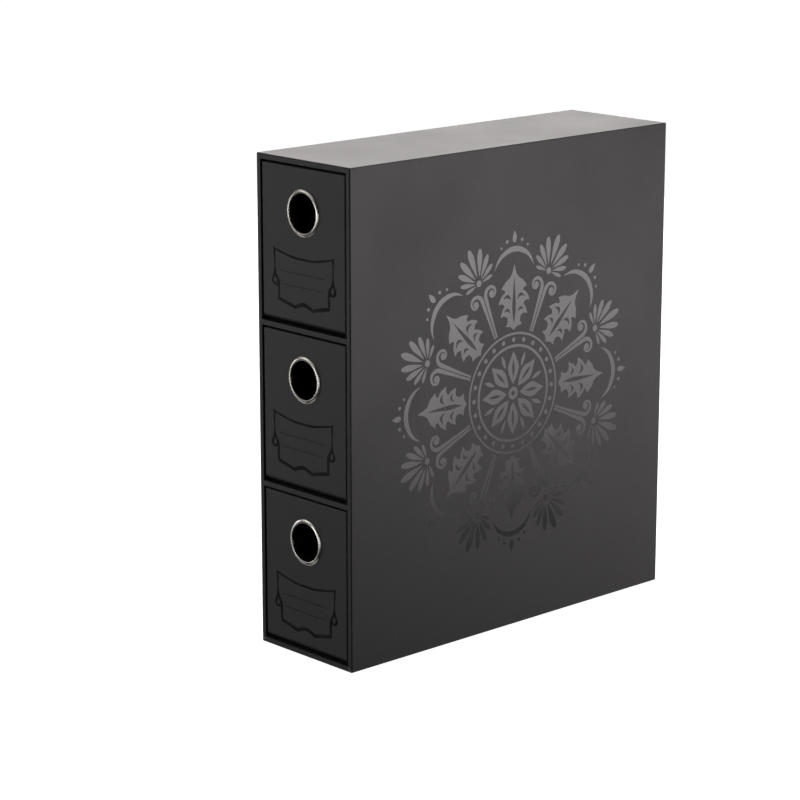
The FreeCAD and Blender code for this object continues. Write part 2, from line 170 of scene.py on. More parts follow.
add_node(tree, "ShaderNodeOutputWorld", {"Surface": both.outputs["Shader"]})
bpy.context.scene.view_settings.view_transform = "Standard"
print("the room is dim, and darkest behind the camera")

# %% Helpers for lights
WHITE = PURE_WHITE[:3]


def hang_panel(name, place, way, width, tall, brightness, tint=WHITE):
    """Hangs a panel that shines one way. A large wall of brightness 1 would look white."""
    turn = way.to_track_quat("-Z", "Y").to_euler()
    bpy.ops.object.light_add(type="AREA", location=place, rotation=turn)
    panel = bpy.context.object
    panel.name = name
    panel.data.shape = "RECTANGLE"
    panel.data.size = width
    panel.data.size_y = tall
    panel.data.color = tint
    panel.data.energy = brightness * math.pi * width * tall


def light_wall(name, middle, way, distance, columns, rows, tint=WHITE):
    """Panels hung on an upright wall, each with its own brightness.

    The wall stands at a distance from the middle, along way. Columns are steps
    along the wall. A row is a height, a panel height and a brightness per column.
    """
    outward = Vector((*way, 0.0)).normalized()
    along = Vector((-outward.y, outward.x, 0.0))
    width = columns[1] - columns[0]
    hung = 0
    for height, tall, levels in rows:
        for step, brightness in zip(columns, levels):
            if brightness > 0.0:
                place = Vector((middle.x, middle.y, height)) + outward * distance + along * step
                hang_panel(f"{name}_{hung}", place, -outward, width, tall, brightness, tint)
                hung += 1
    print(name, "has", hung, "panels")


print("light helpers are ready")

# %% Light walls
MIDDLE = Vector((0.0, 0.0, 0.175))
FRONT_MIDDLE = Vector((0.0, -0.155, 0.175))
SIDE_MIDDLE = Vector((0.0475, 0.0, 0.175))
TO_BACK_RIGHT = (0.709, 0.663)
TO_BACK_LEFT = (-0.709, 0.663)
TO_FRONT_LEFT = (-0.709, -0.663)

bpy.ops.object.select_all(action="DESELECT")
light_wall("side_wall", SIDE_MIDDLE, TO_BACK_RIGHT, 1.2, (-0.75, -0.45, -0.15, 0.15, 0.45, 0.75), (
    (0.9, 0.3, (0.21, 0.27, 0.18, 0.00, 0.00, 0.00)),
    (0.6, 0.3, (0.49, 0.87, 0.82, 0.23, 0.00, 0.00)),
    (0.3, 0.3, (0.92, 2.87, 4.75, 2.11, 0.00, 0.00)),
    (0.1, 0.1, (0.30, 1.51, 3.47, 3.09, 0.36, 0.17)),
    (0.0, 0.1, (0.17, 1.33, 3.39, 2.72, 0.83, 0.36)),
    (-0.1, 0.1, (0.00, 0.56, 2.63, 1.91, 2.00, 0.73)),
    (-0.2, 0.1, (0.00, 0.00, 1.71, 0.60, 3.21, 1.27)),
    (-0.3, 0.1, (0.00, 0.00, 0.19, 0.00, 2.72, 1.60)),
    (-0.4, 0.1, (0.00, 0.00, 0.00, 0.00, 0.99, 1.32)),
), (1.0, 0.955, 0.975))
light_wall("back_wall", MIDDLE, TO_BACK_LEFT, 1.8, (-0.9, -0.3, 0.3, 0.9), (
    (2.1, 0.6, (0.00, 0.12, 0.48, 0.00)),
    (1.5, 0.6, (0.00, 1.00, 1.95, 0.00)),
    (0.9, 0.6, (0.00, 3.62, 3.36, 0.00)),
    (0.3, 0.6, (0.00, 1.30, 0.82, 0.00)),
), (1.0, 0.96, 0.94))
light_wall("front_wall", FRONT_MIDDLE, TO_FRONT_LEFT, 1.3, (-0.6, -0.2, 0.2, 0.6), (
    (0.2, 0.4, (2.45, 0.00, 0.00, 3.98)),
    (-0.2, 0.4, (1.84, 0.00, 0.00, 2.15)),
))

# %% Softboxes
SOFTBOX_DISTANCE = 1.5
SOFTBOX_WIDTH = 0.6
SOFTBOX_HEIGHT = 0.5

for name, middle, leftward, upward, brightness in (
    ("high_softbox", FRONT_MIDDLE, 20.0, 30.0, 0.39),
    ("front_softbox", FRONT_MIDDLE, 45.0, 22.0, 1.28),
    ("left_softbox", FRONT_MIDDLE, 70.0, 25.0, 0.23),
    ("low_front_softbox", FRONT_MIDDLE, 30.0, -55.0, 0.33),
    ("low_left_softbox", FRONT_MIDDLE, 85.0, -35.0, 0.63),
    ("lowest_left_softbox", FRONT_MIDDLE, 85.0, -60.0, 0.31),
    ("facing_front_softbox", FRONT_MIDDLE, 0.0, -8.0, 1.0),
    ("facing_side_softbox", SIDE_MIDDLE, -90.0, -8.0, 1.3),
):
    aside = math.radians(leftward)
    rise = math.radians(upward)
    outward = Vector((-math.sin(aside) * math.cos(rise), -math.cos(aside) * math.cos(rise), math.sin(rise)))
    place = middle + outward * SOFTBOX_DISTANCE
    hang_panel(name, place, -outward, SOFTBOX_WIDTH, SOFTBOX_HEIGHT, brightness)
    print(name, leftward, "degrees left of straight in front,", upward, "up")

# %% Ceiling panel
DOWN = Vector((0.0, 0.0, -1.0))
CEILING_PLACE = Vector((-0.26, 0.21, 1.3))
CEILING_WIDTH = 0.6
CEILING_BRIGHTNESS = 7.0

hang_panel("ceiling_panel", CEILING_PLACE, DOWN, CEILING_WIDTH, CEILING_WIDTH, CEILING_BRIGHTNESS)

# %% [markdown]
# ## Finishes
#
# Every finish is drawn from noise on the object's own coordinates, in up to three
# sizes: a slow one for the mottling of a large sheet, a middle one for fibres, and
# a fine one for the tooth of the surface. They turn the colour, the roughness and
# the bump by small amounts. Small helpers lay such a noise, stretch it to the range
# that is wanted, let it drift between two colours and raise it as a relief. Each
# finds the material's tree of nodes through the socket that it is given.

# %% Helpers for finishes
MICRON = 0.000001


def new_finish(name, metallic=0.0):
    """A material with its shader and its coordinates, ready to be filled in."""
    finish = bpy.data.materials.new(name)
    finish.use_nodes = True
    shader = finish.node_tree.nodes["Principled BSDF"]
    feed(shader, "Metallic", metallic)
    place = add_node(finish.node_tree, "ShaderNodeTexCoord", {}).outputs["Object"]
    print("a finish named", name)
    return finish, shader, place


def noise(place, per_metre, detail=4.0, stretch=(1.0, 1.0, 1.0)):
    """Noise with so many lumps to the metre, stretched if asked."""
    mapping = add_node(place.id_data, "ShaderNodeMapping", {"Vector": place, "Scale": stretch})
    texture = add_node(place.id_data, "ShaderNodeTexNoise", {
        "Vector": mapping.outputs["Vector"], "Scale": per_metre, "Detail": detail, "Roughness": 0.6})
    return texture.outputs["Fac"]


def marked(place, name):
    """Reads what the faces carry under a name: 0 where they carry nothing."""
    reader = add_node(place.id_data, "ShaderNodeAttribute", {})
    reader.attribute_name = name
    return reader.outputs["Fac"]


def spread(value, low, high, start=0.3, end=0.7):
    """Stretches a value from start..end to low..high."""
    stretched = add_node(value.id_data, "ShaderNodeMapRange", {
        "Value": value, "From Min": start, "From Max": end, "To Min": low, "To Max": high})
    return stretched.outputs["Result"]


def blend_colours(share, first, second):
    """Mixes two colours, each a value or an earlier mix."""
    mix = add_node(share.id_data, "ShaderNodeMix", {})
    mix.data_type = "RGBA"
    feed(mix, "Factor", share)
    for socket, colour in (("A", first), ("B", second)):
        feed(mix, socket, (*colour, 1.0) if isinstance(colour, tuple) else colour)
    return mix.outputs["Result"]


def drift(pattern, first, second):
    """Lets a noise drift between two colours."""
    return blend_colours(spread(pattern, 0.0, 1.0), first, second)


def relief(height_value, depth, strength=1.0, under=None):
    """Turns a height into bumps of that depth, over an earlier relief."""
    bump = add_node(height_value.id_data, "ShaderNodeBump", {
        "Height": height_value, "Distance": depth, "Strength": strength})
    if under is not None:
        feed(bump, "Normal", under)
    return bump.outputs["Normal"]


print("finish helpers are ready")

# %% [markdown]
# ## Covering paper
#
# The covering is black paper with a soft matt film on it. It feels like peach skin.
# The film scatters light, so its roughness is near the middle, and the paper's
# fibres show through as a very fine tooth. Along the folds the film is stretched
# and rubbed a little: the faces of the folds carry an attribute named bend, and
# only there does the film lose some of its shine and show specks of a paler grey.
# Folds that nothing rubs against are bent lightly and keep their shine.

# %% Covering paper
LIGHT_BEND = 0.3
RUBBED_GREY = (0.050, 0.048, 0.046)
SHINE_ON_FLATS = 0.5
SHINE_ON_FOLDS = 0.2


def make_covering_paper(name, dark, pale_grey, rough_low, rough_high):
    """Matt film over black paper, with fibres, mottling and rubbed folds."""
    finish, shader, place = new_finish(name)
    mottle = noise(place, 11.0, 3.0)
    fibre = noise(place, 620.0, 6.0, (1.0, 1.0, 0.35))
    tooth = noise(place, 3600.0, 3.0)
    bend = marked(place, "bend")
    specks = spread(noise(place, 260.0, 8.0), 0.0, 1.0, 0.56, 0.70)
    rubbed = add_node(place.id_data, "ShaderNodeMath", {0: bend, 1: specks})
    rubbed.operation = "MULTIPLY"
    worn = blend_colours(rubbed.outputs["Value"], drift(fibre, dark, pale_grey), RUBBED_GREY)
    feed(shader, "Base Color", worn)
    feed(shader, "Roughness", spread(mottle, rough_low, rough_high))
    wave = relief(mottle, 60 * MICRON)
    fibres = relief(fibre, 12 * MICRON, 0.6, wave)
    feed(shader, "Normal", relief(tooth, 6 * MICRON, 0.5, fibres))
    feed(shader, "Specular IOR Level", spread(bend, SHINE_ON_FLATS, SHINE_ON_FOLDS, LIGHT_BEND, 1.0))
    feed(shader, "Sheen Weight", 0.04)
    feed(shader, "Sheen Roughness", 0.45)
    return finish


case_paper = make_covering_paper(
    "case_paper", (0.0135, 0.0125, 0.0125), (0.0190, 0.0178, 0.0178), 0.44, 0.50)
drawer_paper = make_covering_paper(
    "drawer_paper", (0.0125, 0.0122, 0.0125), (0.0180, 0.0175, 0.0178), 0.47, 0.53)

# %% [markdown]
# ## Lining paper, greyboard and the paper's core
#
# Inside, the paper has no film: it is rougher and shows its fibres. The trays are
# covered in a slightly blacker sheet of it than the one that lines them. The tray's
# front, which shows only through the gap under a drawer's face, is painted dull and
# deep black: painted shade for that gap. Greyboard is
# pressed waste paper with dark and pale specks. It is covered everywhere, but it
# still gets its finish, because a drawer may be seen in section one day. Where a
# sheet is cut, its undyed core shows as a pale hairline.

# %% Papers without a film
# Painted shade: a dull, deep black that stands for the shade in the gap under each drawer's face.
PAINTED_GAP_BLACK = (0.0035, 0.0035, 0.0035)
PAINTED_GAP_SHINE = 0.08


def make_plain_paper(name, dark, pale_grey, shine):
    """Uncoated black paper with visible fibres, painted dull black as shade on the faces marked as lying in
    the gap under a drawer's face.
    """
    finish, shader, place = new_finish(name)
    fibre = noise(place, 480.0, 8.0, (1.0, 0.3, 1.0))
    mottle = noise(place, 24.0, 3.0)
    # The marked faces get painted shade: dull black in place of the paper's own colour and shine.
    painted_gap_shade = marked(place, "painted_gap_shade")
    feed(shader, "Base Color", blend_colours(painted_gap_shade, drift(fibre, dark, pale_grey), PAINTED_GAP_BLACK))
    feed(shader, "Specular IOR Level", spread(painted_gap_shade, shine, PAINTED_GAP_SHINE))
    feed(shader, "Roughness", spread(mottle, 0.78, 0.90))
    feed(shader, "Normal", relief(fibre, 40 * MICRON, 0.8))
    return finish


bay_lining_paper = make_plain_paper("bay_lining_paper", (0.018, 0.018, 0.019), (0.034, 0.034, 0.035), 0.4)
tray_paper = make_plain_paper("tray_paper", (0.012, 0.012, 0.012), (0.024, 0.024, 0.024), 0.35)

# %% Greyboard and the paper's core
BOARD_DARK = (0.22, 0.20, 0.17)
BOARD_PALE = (0.31, 0.29, 0.25)
BOARD_FLECK = (0.10, 0.09, 0.08)
CORE_DARK = (0.26, 0.25, 0.23)
CORE_PALE = (0.50, 0.47, 0.44)

pressed_greyboard, shader, place = new_finish("pressed_greyboard")
clouds = noise(place, 60.0, 5.0)
specks = noise(place, 1400.0, 4.0)
flecks = spread(specks, 0.0, 1.0, 0.58, 0.66)
feed(shader, "Base Color", blend_colours(flecks, drift(clouds, BOARD_DARK, BOARD_PALE), BOARD_FLECK))
feed(shader, "Roughness", spread(clouds, 0.82, 0.94))
feed(shader, "Normal", relief(specks, 60 * MICRON, 0.7))

cut_paper_core, shader, place = new_finish("cut_paper_core")
fibre = noise(place, 1500.0, 6.0)
feed(shader, "Base Color", drift(fibre, CORE_DARK, CORE_PALE))
feed(shader, "Roughness", spread(fibre, 0.75, 0.95))
feed(shader, "Normal", relief(fibre, 40 * MICRON, 0.8))

# %% [markdown]
# ## Gloss varnish
#
# The label frame and the large ornament are a clear gloss varnish, printed over the
# matt film through a screen. It has the same black below it. Being smooth, it
# mirrors the room sharply, so against the matt paper it turns pale where the room
# is bright and black where the room is dark. That is the whole effect: nothing in
# it is painted grey.

# %% Varnish
UNDER_VARNISH_DARK = (0.0060, 0.0058, 0.0060)
UNDER_VARNISH_PALE = (0.0095, 0.0090, 0.0092)


def make_varnish(name, rough_low, rough_high, shine):
    """Clear gloss over black, with the faint orange peel of a screen print."""
    finish, shader, place = new_finish(name)
    peel = noise(place, 750.0, 2.0)
    slow = noise(place, 45.0, 3.0)
    feed(shader, "Base Color", drift(slow, UNDER_VARNISH_DARK, UNDER_VARNISH_PALE))
    feed(shader, "Roughness", spread(slow, rough_low, rough_high))
    feed(shader, "Normal", relief(peel, 10 * MICRON, 0.5))
    feed(shader, "Specular IOR Level", shine)
    return finish


label_varnish = make_varnish("label_varnish", 0.18, 0.26, 0.65)
ornament_varnish = make_varnish("ornament_varnish", 0.15, 0.20, 0.8)

# %% [markdown]
# ## Nickel and steel
#
# The eyelets are stamped and nickel plated. A tumbled nickel surface is bright but
# not a mirror: it carries fine scratches, and two sets that cross are enough to show
# them. The washer behind it is plain steel, duller and more deeply scratched.

# %% Metals
def make_metal(name, colour, shade, rough_low, rough_high, scratch_depth):
    """Metal with fine scratches and slightly uneven gloss."""
    finish, shader, place = new_finish(name, 1.0)
    scratch_across = noise(place, 2600.0, 3.0, (0.06, 1.0, 1.0))
    scratch_upright = noise(place, 2600.0, 3.0, (1.0, 1.0, 0.06))
    cloud = noise(place, 160.0, 3.0)
    feed(shader, "Base Color", drift(cloud, colour, shade))
    feed(shader, "Roughness", spread(cloud, rough_low, rough_high))
    across = relief(scratch_across, scratch_depth, 0.5)
    feed(shader, "Normal", relief(scratch_upright, scratch_depth, 0.5, across))
    return finish


bright_nickel = make_metal("bright_nickel", (0.72, 0.69, 0.64), (0.62, 0.59, 0.55), 0.20, 0.30, 4 * MICRON)
washer_steel = make_metal("washer_steel", (0.46, 0.45, 0.44), (0.36, 0.35, 0.35), 0.32, 0.45, 8 * MICRON)

# %% [markdown]
# ## Handling meshes in code
#
# Modelling by hand means: pick faces or edges, then extrude, inset or bevel them.
# In code the picking is a small test on each face or edge. Such a test leaves a
# little room, because no number comes out quite equal: NEAR is how far a point may
# be off its plane, and ALIKE, FLAT and LEANS are the shares of a face's normal that
# count as looking one way, lying flat and leaning. These helpers start a block, pick
# what passes a test, and finish a sheet of paper: the folds are rounded, the sheet
# gets its thickness behind its face, and the normals are weighted so that the large
# flats stay perfectly flat beside their rounded edges.

# %% Helpers for starting and picking
MM = 0.001
NEAR = 0.02 * MM
PAPER = 0.25 * MM
ALIKE = 0.9
UPRIGHT = math.radians(90.0)


def clear_selection():
    """Leaves edit mode and lets go of everything."""
    if bpy.context.object is not None and bpy.context.object.mode != "OBJECT":
        bpy.ops.object.mode_set(mode="OBJECT")
    bpy.ops.object.select_all(action="DESELECT")


def take(piece):
    """Makes one piece the only selected one."""
    clear_selection()
    piece.select_set(True)
    bpy.context.view_layer.objects.active = piece


def settle(name):
    """Names the new primitive and puts its place into its mesh."""
    piece = bpy.context.object
    piece.name = name
    piece.data.name = name
    bpy.ops.object.transform_apply(location=True, rotation=True, scale=True)
    return piece


def block(name, low, high):
    """A cube primitive that fills the space between two corners."""
    clear_selection()
    middle = [(a + b) / 2 for a, b in zip(low, high)]
    size = [b - a for a, b in zip(low, high)]
    bpy.ops.mesh.primitive_cube_add(size=1.0, location=middle, scale=size)
    return settle(name)


def flat_sheet(name, width, height, place, turn=(0.0, 0.0, 0.0)):
    """A plane primitive of that width and height, turned and put in its place."""
    clear_selection()
    bpy.ops.mesh.primitive_plane_add(size=1.0, location=place, rotation=turn)
    bpy.context.object.scale = (width, height, 1.0)
    return settle(name)


def pick(piece, kind, test=None):
    """Selects the faces, edges or vertices that pass a test, or all of them, in edit mode."""
    take(piece)
    bpy.ops.object.mode_set(mode="EDIT")
    bpy.ops.mesh.select_mode(type=kind)
    bpy.ops.mesh.select_all(action="DESELECT")
    bpy.ops.object.mode_set(mode="OBJECT")
    mesh = piece.data
    members = {"FACE": mesh.polygons, "EDGE": mesh.edges, "VERT": mesh.vertices}[kind]
    for member in members:
        member.select = test is None or test(mesh, member)
    bpy.ops.object.mode_set(mode="EDIT")


def facing(direction):
    """A test for faces that look one way."""
    way_out = Vector(direction)
    return lambda mesh, face: face.normal.dot(way_out) > ALIKE


def inside(low, high):
    """A test for edges or vertices that lie wholly in a box."""
    def test(mesh, member):
        ends = [mesh.vertices[i].co for i in member.vertices] if hasattr(member, "vertices") else [member.co]
        return all(low[k] - NEAR <= end[k] <= high[k] + NEAR for end in ends for k in range(3))
    return test


clear_selection()
print("a point within", NEAR / MM, "mm counts as on its plane")

# %% Helpers for shaping paper
DOUBLES = 0.005 * MM
FOLD_ANGLE = 0.6
CREASE = math.radians(35.0)
FLAT = 0.995
LEANS = 0.1


def extrude(x=0.0, y=0.0, z=0.0):
    """Extrudes what is selected, and moves the new part by that much."""
    bpy.ops.mesh.extrude_region_move(TRANSFORM_OT_translate={"value": (x, y, z)})


def open_side(piece, direction, rim=None):
    """Takes away the side that looks one way, or all of it but a rim."""
    pick(piece, "FACE", facing(direction))
    if rim is not None:
        bpy.ops.mesh.inset(thickness=rim, use_boundary=False)
    bpy.ops.mesh.delete(type="FACE")


def apply_modifier(piece, kind, **settings):
    """Adds a modifier, sets it up and applies it."""
    take(piece)
    modifier = piece.modifiers.new(kind.lower(), kind)
    for key, value in settings.items():
        setattr(modifier, key, value)
    bpy.ops.object.modifier_apply(modifier=modifier.name)


def turn_faces(piece, farthest, inward=False):
    """Merges doubles and turns all faces alike: the one farthest that way looks out, or in."""
    pick(piece, "FACE")
    bpy.ops.mesh.remove_doubles(threshold=DOUBLES)
    bpy.ops.mesh.normals_make_consistent(inside=False)
    bpy.ops.object.mode_set(mode="OBJECT")
    way_out = Vector(farthest)
    last = max(piece.data.polygons, key=lambda face: face.center.dot(way_out))
    if (last.normal.dot(way_out) < 0.0) != inward:
        bpy.ops.object.mode_set(mode="EDIT")
        bpy.ops.mesh.flip_normals()
    clear_selection()


def smooth(piece):
    """Smooth shading with crisp creases, and flats that stay flat."""
    take(piece)
    bpy.ops.object.shade_smooth_by_angle(angle=CREASE)
    apply_modifier(piece, "WEIGHTED_NORMAL", keep_sharp=True)


def thicken(piece):
    """Gives a sheet the paper's thickness behind its face."""
    apply_modifier(piece, "SOLIDIFY", thickness=PAPER, offset=-1.0, use_even_offset=True)


def mark_bends(piece, light=None):
    """Writes 0 on the flats and 1 on the folds, or less where a test says that a fold is light."""
    bend = piece.data.attributes.new("bend", "FLOAT", "FACE")
    for face in piece.data.polygons:
        if max(abs(part) for part in face.normal) < FLAT:
            bend.data[face.index].value = LIGHT_BEND if light is not None and light(face) else 1.0


def round_folds(piece, widest, rule, segments=5):
    """Rounds each edge between two faces by the radius that the rule gives for its ends."""
    weight = piece.data.attributes.new("bevel_weight_edge", "FLOAT", "EDGE")
    folds = [key for face in piece.data.polygons for key in face.edge_keys]
    for edge in piece.data.edges:
        first, second = [piece.data.vertices[i].co for i in edge.vertices]
        radius = rule(first, second) if folds.count(edge.key) == 2 else 0.0
        weight.data[edge.index].value = radius / widest
    apply_modifier(piece, "BEVEL", width=widest, segments=segments, limit_method="WEIGHT")


def make_paper(piece, radius, farthest, inward=False, widest=None, light=None):
    """Rounds the folds of a sheet and gives it its thickness behind the face.

    The radius is a length, or a rule that gives one for each edge.
    """
    turn_faces(piece, farthest, inward)
    if widest is None:
        apply_modifier(piece, "BEVEL", width=radius, segments=4, limit_method="ANGLE", angle_limit=FOLD_ANGLE)
    else:
        round_folds(piece, widest, radius)
    thicken(piece)
    mark_bends(piece, light)


print("a sheet of paper is", PAPER / MM, "mm thick")

# %% Dressing a piece
def dress(piece, finish, body, slot_name, *nodes):
    """Gives a piece its finish, its body and the nodes that it stands for."""
    piece.data.materials.clear()
    piece.data.materials.append(finish)
    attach(piece, body)
    if nodes:
        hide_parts(*nodes)
    places = [[v.co[k] / MM for v in piece.data.vertices] for k in range(3)]
    low = [round(min(along_axis), 2) for along_axis in places]
    high = [round(max(along_axis), 2) for along_axis in places]
    print(piece.name, "from", low, "to", high, "mm,", len(piece.data.polygons), "faces")


print("shape helpers are ready")

# %% [markdown]
# ## The case's outer covering
#
# One sheet goes over the left side, the lid and the right side. At the front it
# folds round the board's edge into the bays, and at the back and below it is turned
# over and glued flat. It could be cut flat and folded. It is quicker to start from
# a block of the case's size, because the block's faces already are the sheet: the
# bottom is opened, the front and back are inset to the width of the folds, and the
# free edges are extruded inwards. The fold's corner at the foot is cut at an angle,
# so that the sheet meets the base paper in a mitre.

# %% Outer covering
case_low, case_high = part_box("case_outer_wrap")
bay_low, bay_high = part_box("lower_shelf_edge_wrap")
base_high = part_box("case_base_sheet")[1]
back_low, back_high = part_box("case_back_sheet")
LEFT, FRONT, FOOT = case_low
RIGHT, BACK, TOP = case_high
LIP = RIGHT - bay_high.x
FOLD_END = bay_high.y
FLOOR_OF_BAY = base_high.z
BACK_FOLD = RIGHT - back_high.x
UNDER_FOLD = 12.0 * MM
EDGE = 0.5 * MM
CORNER = 0.7 * MM


def at_front(low_x, high_x, low_z, high_z):
    """A test for what lies on the front plane within a rectangle."""
    return inside((low_x, FRONT, low_z), (high_x, FRONT, high_z))


def fold_radius(first, second):
    """The case's upright front corners are rounder than its other folds."""
    on_front = max(first.y, second.y) < FRONT + NEAR
    on_side = min(abs(first.x), abs(second.x)) > RIGHT - NEAR
    return CORNER if on_front and on_side else EDGE


outer = block("case_covering", case_low, case_high)
open_side(outer, (0, 0, -1))
open_side(outer, (0, -1, 0), LIP)
pick(outer, "VERT", at_front(LEFT + LIP, RIGHT - LIP, FOOT, FOOT))
bpy.ops.transform.translate(value=(0.0, 0.0, FLOOR_OF_BAY))
pick(outer, "EDGE", at_front(LEFT + LIP, RIGHT - LIP, FLOOR_OF_BAY, TOP - LIP))
extrude(y=FOLD_END - FRONT)
open_side(outer, (0, 1, 0), BACK_FOLD)
for side in (-1.0, 1.0):
    edge_x = side * RIGHT
    pick(outer, "EDGE", inside((edge_x, FRONT, FOOT), (edge_x, BACK, FOOT)))
    extrude(x=-side * UNDER_FOLD)
    inner_x = side * (RIGHT - UNDER_FOLD)
    pick(outer, "VERT", inside((inner_x, FRONT, FOOT), (inner_x, FRONT, FOOT)))
    bpy.ops.transform.translate(value=(0.0, UNDER_FOLD, 0.0))
make_paper(outer, fold_radius, (0, 0, 1), widest=CORNER,
           light=lambda fold: fold.normal.x * fold.center.x < 0.0 or fold.normal.z < -LEANS)
smooth(outer)
dress(outer, case_paper, "case", "covering_paper", "case_outer_wrap")

# %% [markdown]
# ## Base paper and back paper
#
# The base paper lies under the case, comes up over the front edge as the lip below
# the bottom drawer, and folds into the bay. It starts as a plane between the folds
# of the covering; its front is widened, raised and folded in by extruding one edge
# three times. The back paper is one flat sheet with slightly rounded corners that
# leaves a hairline of the folds around it.

# %% Base paper
SEAM = 0.12 * MM
TIP = 0.45 * MM


def level_edge(y, z, half_width):
    """A test for the edge that runs from left to right at one height and depth."""
    return inside((-half_width, y, z), (half_width, y, z))


def widen(factor, about_x=0.0):
    """Scales what is selected from left to right, about the middle or another x."""
    bpy.ops.transform.resize(value=(factor, 1.0, 1.0), center_override=(about_x, 0.0, 0.0))


under_half = RIGHT - UNDER_FOLD - SEAM
under_front = FRONT + UNDER_FOLD
base = flat_sheet("base_covering", 2 * under_half, base_high.y - under_front,
                  (0.0, (under_front + base_high.y) / 2, FOOT))
pick(base, "EDGE", level_edge(under_front, FOOT, under_half))
extrude(y=-UNDER_FOLD)
widen((RIGHT - TIP) / under_half)
extrude(z=FLOOR_OF_BAY)
widen((RIGHT - LIP - SEAM) / (RIGHT - TIP))
extrude(y=FOLD_END - FRONT)
make_paper(base, EDGE, (0, 0, -1))
smooth(base)
dress(base, case_paper, "case", "covering_paper", "case_base_sheet")

# %% Back paper
BACK_GAP = 0.15 * MM
BACK_CORNER = 1.2 * MM
CUT_EDGE = 0.06 * MM

back_paper = flat_sheet("back_covering", 2 * (back_high.x - BACK_GAP),
                        back_high.z - back_low.z - 2 * BACK_GAP,
                        (0.0, BACK, (back_low.z + back_high.z) / 2), (-UPRIGHT, 0.0, 0.0))
pick(back_paper, "VERT")
bpy.ops.mesh.bevel(affect="VERTICES", offset=BACK_CORNER, segments=5)
turn_faces(back_paper, (0, 1, 0))
apply_modifier(back_paper, "SOLIDIFY", thickness=PAPER, offset=-1.0)
apply_modifier(back_paper, "BEVEL", width=CUT_EDGE, segments=2, limit_method="ANGLE", angle_limit=FOLD_ANGLE)
mark_bends(back_paper)
smooth(back_paper)
dress(back_paper, case_paper, "case", "covering_paper", "case_back_sheet")

# %% [markdown]
# ## Shelf edges
#
# Each shelf's front edge is wrapped in a strip that is folded back above and below.
# One strip is made from a plane by extruding its top and bottom edges, and the
# second is a copy of it. The strip's ends reach a little over the rounded edges of
# the side folds, so that the front of the case reads as one frame.

# %% Shelf edges
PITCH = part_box("upper_shelf_edge_wrap")[0].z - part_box("lower_shelf_edge_wrap")[0].z


def copy_up(piece, name, steps):
    """Copies a piece, with its own mesh, one or two bays higher."""
    take(piece)
    bpy.ops.object.duplicate(linked=False)
    bpy.ops.transform.translate(value=(0.0, 0.0, steps * PITCH))
    return settle(name)


strip = flat_sheet("lower_shelf_strip", 2 * bay_high.x, bay_high.z - bay_low.z,
                   (0.0, FRONT, (bay_low.z + bay_high.z) / 2), (UPRIGHT, 0.0, 0.0))
for fold_z in (bay_low.z, bay_high.z):
    pick(strip, "EDGE", level_edge(FRONT, fold_z, bay_high.x))
    extrude(y=FOLD_END - FRONT)
for side in (-1.0, 1.0):
    end_x = side * bay_high.x
    pick(strip, "EDGE", inside((end_x, FRONT, bay_low.z), (end_x, FRONT, bay_high.z)))
    extrude(x=side * EDGE)
make_paper(strip, EDGE, (0, -1, 0), light=lambda fold: fold.normal.z < -LEANS)
smooth(strip)
upper_strip = copy_up(strip, "upper_shelf_strip", 1)
dress(strip, case_paper, "case", "covering_paper", "lower_shelf_edge_wrap")
dress(upper_strip, case_paper, "case", "covering_paper", "upper_shelf_edge_wrap")

# %% [markdown]
# ## Drawer faces
#
# A drawer's face is a thick board with well rounded front edges, covered in paper.
# The sheet starts as a block of its size with the back left open. The edges get
# different roundings, as the real ones have: the lower edge is the roundest,
# because it is wrapped last and rubs on the shelf, and the other edges are drawn
# tight over the board. Edge weights tell the bevel how much each edge gets. The
# hole for the eyelet is bored last.

# %% Helpers for drawer pieces
BAYS = ("bottom", "middle", "top")
HOLE = 14.0 * MM

pull_low, pull_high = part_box("bottom_drawer_eyelet")
pull = (pull_low + pull_high) / 2


def bore(piece, front, back):
    """Bores the hole for the eyelet from front to back through a piece."""
    clear_selection()
    bpy.ops.mesh.primitive_cylinder_add(vertices=96, radius=HOLE, depth=back - front,
                                        location=(pull.x, (front + back) / 2, pull.z),
                                        rotation=(UPRIGHT, 0.0, 0.0))
    drill = settle("drill")
    apply_modifier(piece, "BOOLEAN", operation="DIFFERENCE", object=drill, solver="EXACT")
    bpy.data.objects.remove(drill)


def fill_bays(piece, name, finish, slot_name, node):
    """Dresses the bottom drawer's piece, and a copy of it for each drawer above."""
    pieces = [piece] + [copy_up(piece, f"{BAYS[step]}_{name}", step) for step in (1, 2)]
    for bay, drawer_piece in zip(BAYS, pieces):
        dress(drawer_piece, finish, f"{bay}_drawer", slot_name, f"{bay}_drawer_{node}")


print("the lowest hole is at", round(pull.z / MM, 3), "mm")

# %% Drawer faces
FACE_ROUND = 1.0 * MM
LOWER_ROUND = 2.3 * MM
CORNER_ROUND = 0.5 * MM

face_low, face_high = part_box("bottom_drawer_face_wrap")


def face_radius(first, second):
    """Round edges in front, the lower one the roundest, and nearly square corners."""
    if abs(first.y - second.y) > NEAR:
        return CORNER_ROUND
    return LOWER_ROUND if max(first.z, second.z) < face_low.z + NEAR else FACE_ROUND


face = block("bottom_face_covering", face_low, face_high)
open_side(face, (0, 1, 0))
turn_faces(face, (0, -1, 0))
round_folds(face, LOWER_ROUND, face_radius, 7)
thicken(face)
mark_bends(face, lambda fold: fold.normal.z > LEANS or fold.normal.x < -LEANS)
bore(face, face_low.y - MM, face_high.y + MM)
smooth(face)
fill_bays(face, "face_covering", drawer_paper, "covering_paper", "face_wrap")

